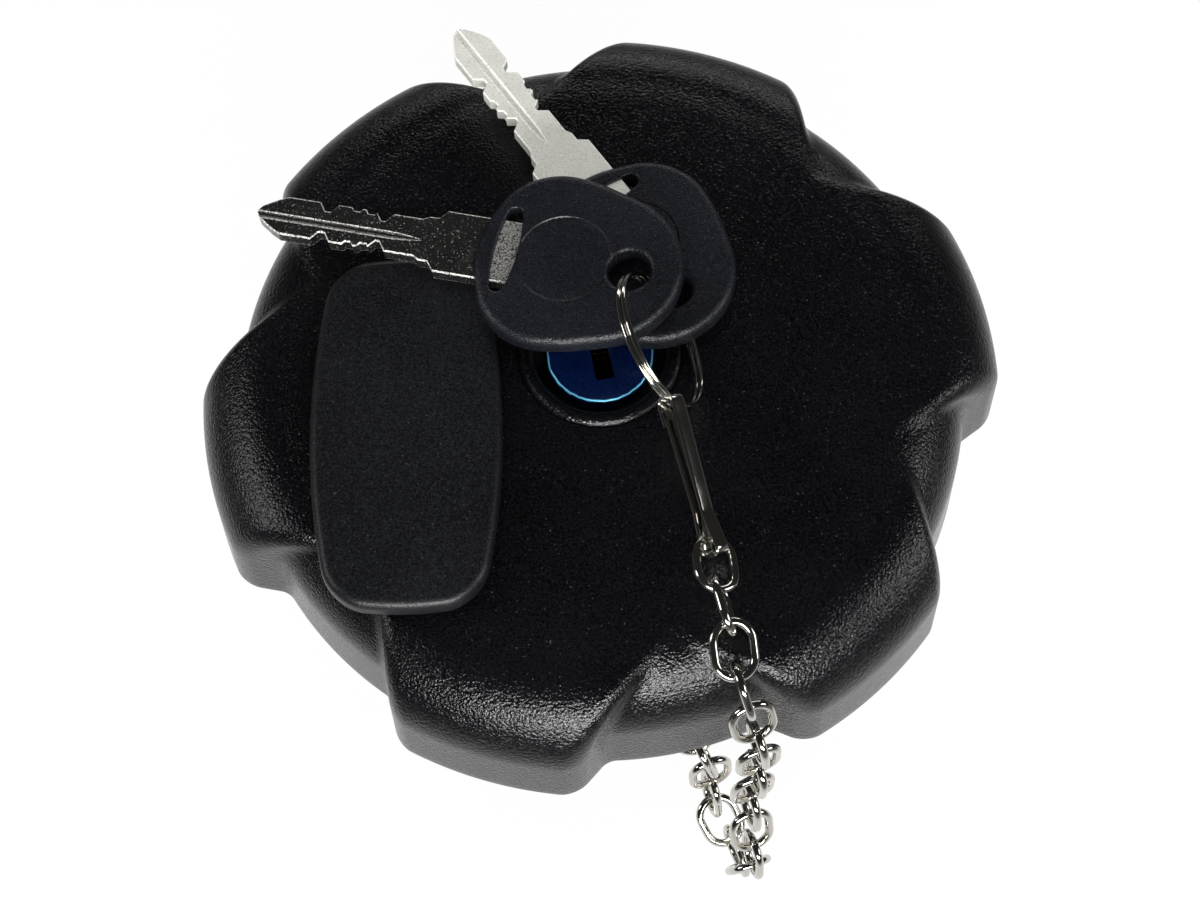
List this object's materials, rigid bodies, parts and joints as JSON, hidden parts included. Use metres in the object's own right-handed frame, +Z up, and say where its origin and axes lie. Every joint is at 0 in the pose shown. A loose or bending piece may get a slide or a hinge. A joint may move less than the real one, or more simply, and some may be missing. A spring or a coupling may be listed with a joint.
{
  "type": "lockable fuel filler cap",
  "caption": "Lockable twist-on fuel tank cap with a lobed grip, swinging dust flap, spigot with bayonet ears and seal, chain and keys on a split ring.",
  "frame": {"origin": "centre of the flat foot of the vent cage, on which the cap stands with its grip upwards", "axes": "+Z up along the cap's axis, from the foot towards the lock's face; +Y away from the side where the chain hangs over the edge"},
  "size_m": [0.116, 0.1206, 0.0873],
  "materials": {
    "grip_moulding": "grained satin",
    "flap_moulding": "fine grain",
    "spigot_moulding": "plain moulded",
    "cage_moulding": "plain moulded",
    "seal_rubber": "smooth",
    "zinc_steel": "zinc plated",
    "spring_steel": "bright wire",
    "screw_steel": "zinc plated",
    "zinc_casting": "die cast",
    "plug_brass": "turned",
    "blue_face": "blue lacquer",
    "ball_moulding": "plain moulded",
    "key_moulding": "fine grain",
    "bright_nickel": "nickel plated"
  },
  "bodies": {
    "cap": {"cap_handle": "grip_moulding", "handle_screws": "screw_steel", "spigot_body": "spigot_moulding", "wave_spring": "spring_steel", "bayonet_plate": "zinc_steel", "bayonet_circlip": "spring_steel", "lock_barrel": "zinc_casting", "bolt_carrier": "spigot_moulding", "vent_cage": "cage_moulding", "cage_screws": "screw_steel", "vent_spring": "spring_steel", "rollover_ball": "ball_moulding", "chain_hanging": "bright_nickel"},
    "lock_rotor": {"lock_plug": "plug_brass", "lock_wafers": "plug_brass", "lock_face": "blue_face", "lock_cam": "zinc_steel"},
    "right_bolt": {"bolt_right": "zinc_steel"},
    "left_bolt": {"bolt_left": "zinc_steel"},
    "seal_carrier": {"pressure_plate": "zinc_steel", "gasket": "seal_rubber"},
    "vent_valve": {"vent_disc": "cage_moulding", "vent_seal": "seal_rubber"},
    "flap": {"dust_flap": "flap_moulding", "flap_pin": "flap_moulding", "flap_spring": "spring_steel", "flap_clip": "spring_steel"},
    "key_bunch": {"split_ring": "bright_nickel", "snap_clip": "bright_nickel", "chain_top": "bright_nickel"},
    "key_1": {"key_1_head": "key_moulding", "key_1_blade": "bright_nickel"},
    "key_2": {"key_2_head": "key_moulding", "key_2_blade": "bright_nickel"}
  },
  "joints": [
    {"name": "lock_turn", "type": "hinge", "parent": "cap", "child": "lock_rotor", "pos_m": [0, 0, 0.05], "axis": [0, 0, 1], "range_deg": [0, 90]},
    {"name": "right_bolt_slide", "type": "slide", "parent": "cap", "child": "right_bolt", "axis": [-0.4848, -0.8746, 0], "range_m": [0, 0.004]},
    {"name": "left_bolt_slide", "type": "slide", "parent": "cap", "child": "left_bolt", "axis": [0.4848, 0.8746, 0], "range_m": [0, 0.004]},
    {"name": "seal_float", "type": "slide", "parent": "cap", "child": "seal_carrier", "axis": [0, 0, 1], "range_m": [0, 0.0018], "stiffness_N_per_m": 8000, "springref_m": -0.002, "deforming": ["wave_spring"]},
    {"name": "vent_lift", "type": "slide", "parent": "cap", "child": "vent_valve", "axis": [0, 0, 1], "range_m": [0, 0.0025], "stiffness_N_per_m": 150, "springref_m": -0.003, "deforming": ["vent_spring"]},
    {"name": "keys_lift", "type": "hinge", "parent": "cap", "child": "key_bunch", "pos_m": [0.01885, -0.05194, 0.0655], "axis": [0.9322, 0.3505, 0.09], "range_deg": [0, 150]},
    {"name": "flap_swing", "type": "hinge", "parent": "cap", "child": "flap", "pos_m": [-0.0271, 0.0068, 0.0702], "axis": [0, 0, 1], "range_deg": [0, 76.3]},
    {"name": "key_1_swing", "type": "hinge", "parent": "key_bunch", "child": "key_1", "pos_m": [0.0044, 0.00665, 0.0794], "axis": [-0.081, 0.021, 0.9965], "range_deg": [-20, 20]},
    {"name": "key_2_swing", "type": "hinge", "parent": "key_bunch", "child": "key_2", "pos_m": [0.0101, 0.00625, 0.0742], "axis": [-0.0248, 0.0375, 0.999], "range_deg": [-20, 20]}
  ],
  "couplings": [
    {"joint": "right_bolt_slide", "follows": "lock_turn", "m_per_rad": 0.0025465},
    {"joint": "left_bolt_slide", "follows": "lock_turn", "m_per_rad": 0.0025465},
    {"joint": "flap_swing", "follows": "keys_lift", "ratio": 0.50867}
  ]
}
